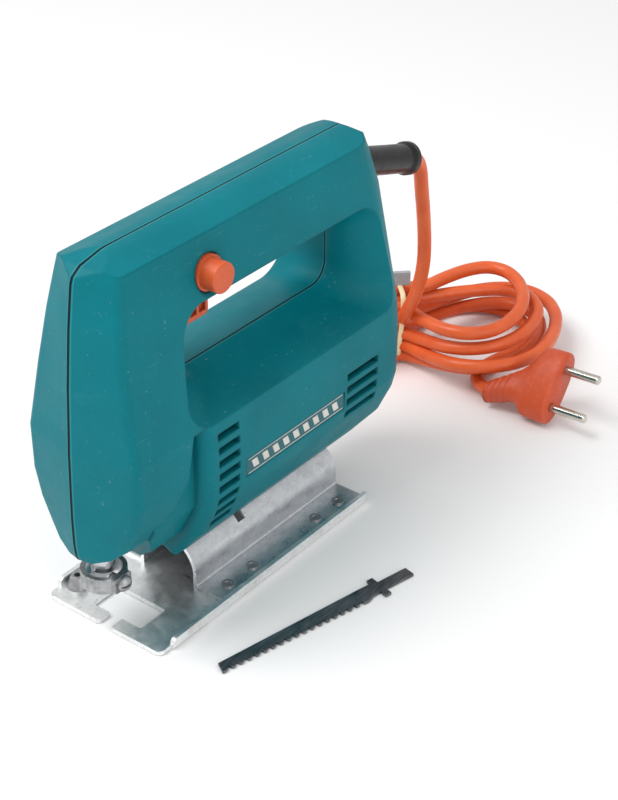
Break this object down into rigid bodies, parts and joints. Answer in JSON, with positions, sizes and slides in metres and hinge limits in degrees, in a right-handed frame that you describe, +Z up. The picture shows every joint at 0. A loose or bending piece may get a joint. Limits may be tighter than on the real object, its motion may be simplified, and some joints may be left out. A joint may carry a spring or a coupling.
{
  "type": "jigsaw",
  "caption": "Corded hand jigsaw with a closed loop handle, tilting pressed-steel shoe, reciprocating plunger with a screw blade clamp, banded supply cord and loose blade.",
  "frame": {"origin": "where the back edge of a fitted blade crosses the sole plane, on the centre plane of the tool, level with the front ends of the shoe lips", "axes": "+X forwards, the cutting direction; +Y towards the operator's left, the side with the lock button; +Z up, from the sole to the handle"},
  "size_m": [0.3405, 0.1614, 0.1666],
  "materials": {
    "teal_housing": "fine satin moulding texture",
    "orange_plastic": "satin moulded plastic",
    "orange_cord": "smooth matt cable sheath",
    "black_rubber": "matt rubber",
    "black_plastic": "matt moulded plastic",
    "zinc_steel": "zinc-plated pressed sheet, mottled",
    "bright_steel": "bright ground steel",
    "machined_steel": "machined",
    "blade_steel": "blackened flanks, bright teeth",
    "aluminium": "die cast",
    "lamination_steel": "stacked laminations",
    "copper": "enamelled copper",
    "bronze": "sintered bronze",
    "carbon": "graphite",
    "cream_rubber": "dusty elastic",
    "grey_plastic": "matt moulded plastic",
    "white_plastic": "matt moulded plastic",
    "pin_brass": "nickel-plated brass"
  },
  "bodies": {
    "housing": {"left_housing": "teal_housing", "right_housing": "teal_housing", "housing_screws": "zinc_steel", "badge_plate": "black_plastic", "bearing_plate": "aluminium", "front_bearing": "bright_steel", "rear_bearing": "bright_steel", "gear_spindle": "machined_steel", "upper_bush": "bronze", "lower_bush": "bronze", "clamp_washer": "machined_steel", "clamp_nut": "machined_steel", "stator_core": "lamination_steel", "field_windings": "copper", "brush_holders": "bronze", "carbon_brushes": "carbon", "brush_springs": "bright_steel", "switch_body": "white_plastic", "trigger_spring": "bright_steel", "lock_spring": "bright_steel", "strain_relief": "black_rubber", "cord_tail": "orange_cord", "cord_clamp": "black_plastic", "cord_clamp_screws": "zinc_steel", "supply_leads": "orange_cord", "motor_leads": "black_rubber", "capacitor": "grey_plastic", "mains_cord": "orange_cord", "cord_hank": "orange_cord", "rubber_band": "cream_rubber", "band_tab": "grey_plastic", "plug_lead": "orange_cord", "plug_body": "orange_plastic", "plug_pins": "pin_brass"},
    "plunger": {"plunger": "bright_steel", "yoke": "machined_steel", "blade_clamp": "zinc_steel"},
    "slider": {"slider_block": "bronze"},
    "gear": {"drive_gear": "machined_steel", "crank_pin": "bright_steel"},
    "armature": {"armature_shaft": "machined_steel", "armature_core": "lamination_steel", "armature_winding": "copper", "commutator": "copper", "cooling_fan": "black_plastic", "pinion": "machined_steel"},
    "blade_clamp_screw": {"clamp_screw": "zinc_steel"},
    "shoe": {"shoe_plate": "zinc_steel", "saddle": "zinc_steel", "clinch_rivets": "zinc_steel", "guide_boss": "zinc_steel"},
    "shoe_clamp": {"shoe_clamp_screw": "machined_steel"},
    "trigger": {"trigger": "orange_plastic"},
    "lock_button": {"lock_button": "orange_plastic"},
    "blade": {"saw_blade": "blade_steel"}
  },
  "joints": [
    {"name": "plunger_stroke", "type": "slide", "parent": "housing", "child": "plunger", "axis": [0, 0, 1], "range_m": [-0.009, 0.009]},
    {"name": "slider_cross", "type": "slide", "parent": "plunger", "child": "slider", "axis": [0, 1, 0], "range_m": [-0.018, 0]},
    {"name": "gear_spin", "type": "hinge", "parent": "housing", "child": "gear", "pos_m": [-0.021, 0, 0.087], "axis": [1, 0, 0], "continuous": true},
    {"name": "armature_spin", "type": "hinge", "parent": "housing", "child": "armature", "pos_m": [-0.086, 0, 0.06], "axis": [1, 0, 0], "continuous": true},
    {"name": "blade_clamp_screw_turn", "type": "hinge", "parent": "plunger", "child": "blade_clamp_screw", "pos_m": [0.004, 0.01, 0.0258], "axis": [0, 1, 0], "range_deg": [-180, 180]},
    {"name": "shoe_tilt", "type": "hinge", "parent": "housing", "child": "shoe", "pos_m": [-0.08, 0, 0.0087], "axis": [1, 0, 0], "range_deg": [-45, 45]},
    {"name": "shoe_clamp_turn", "type": "hinge", "parent": "housing", "child": "shoe_clamp", "pos_m": [-0.066, 0, 0.025], "axis": [0, 0, 1], "range_deg": [-180, 180]},
    {"name": "trigger_press", "type": "slide", "parent": "housing", "child": "trigger", "axis": [0, 0, 1], "range_m": [0, 0.0045], "stiffness_N_per_m": 500, "springref_m": -0.004, "deforming": ["trigger_spring"]},
    {"name": "lock_button_press", "type": "slide", "parent": "housing", "child": "lock_button", "axis": [0, -1, 0], "range_m": [0, 0.003], "stiffness_N_per_m": 500, "springref_m": -0.003, "deforming": ["lock_spring"]},
    {"name": "blade_lift", "type": "slide", "parent": "housing", "child": "blade", "axis": [0, 0, 1], "range_m": [0, 0.06]}
  ],
  "couplings": [
    {"joint": "gear_spin", "follows": "armature_spin", "ratio": -0.18605}
  ]
}
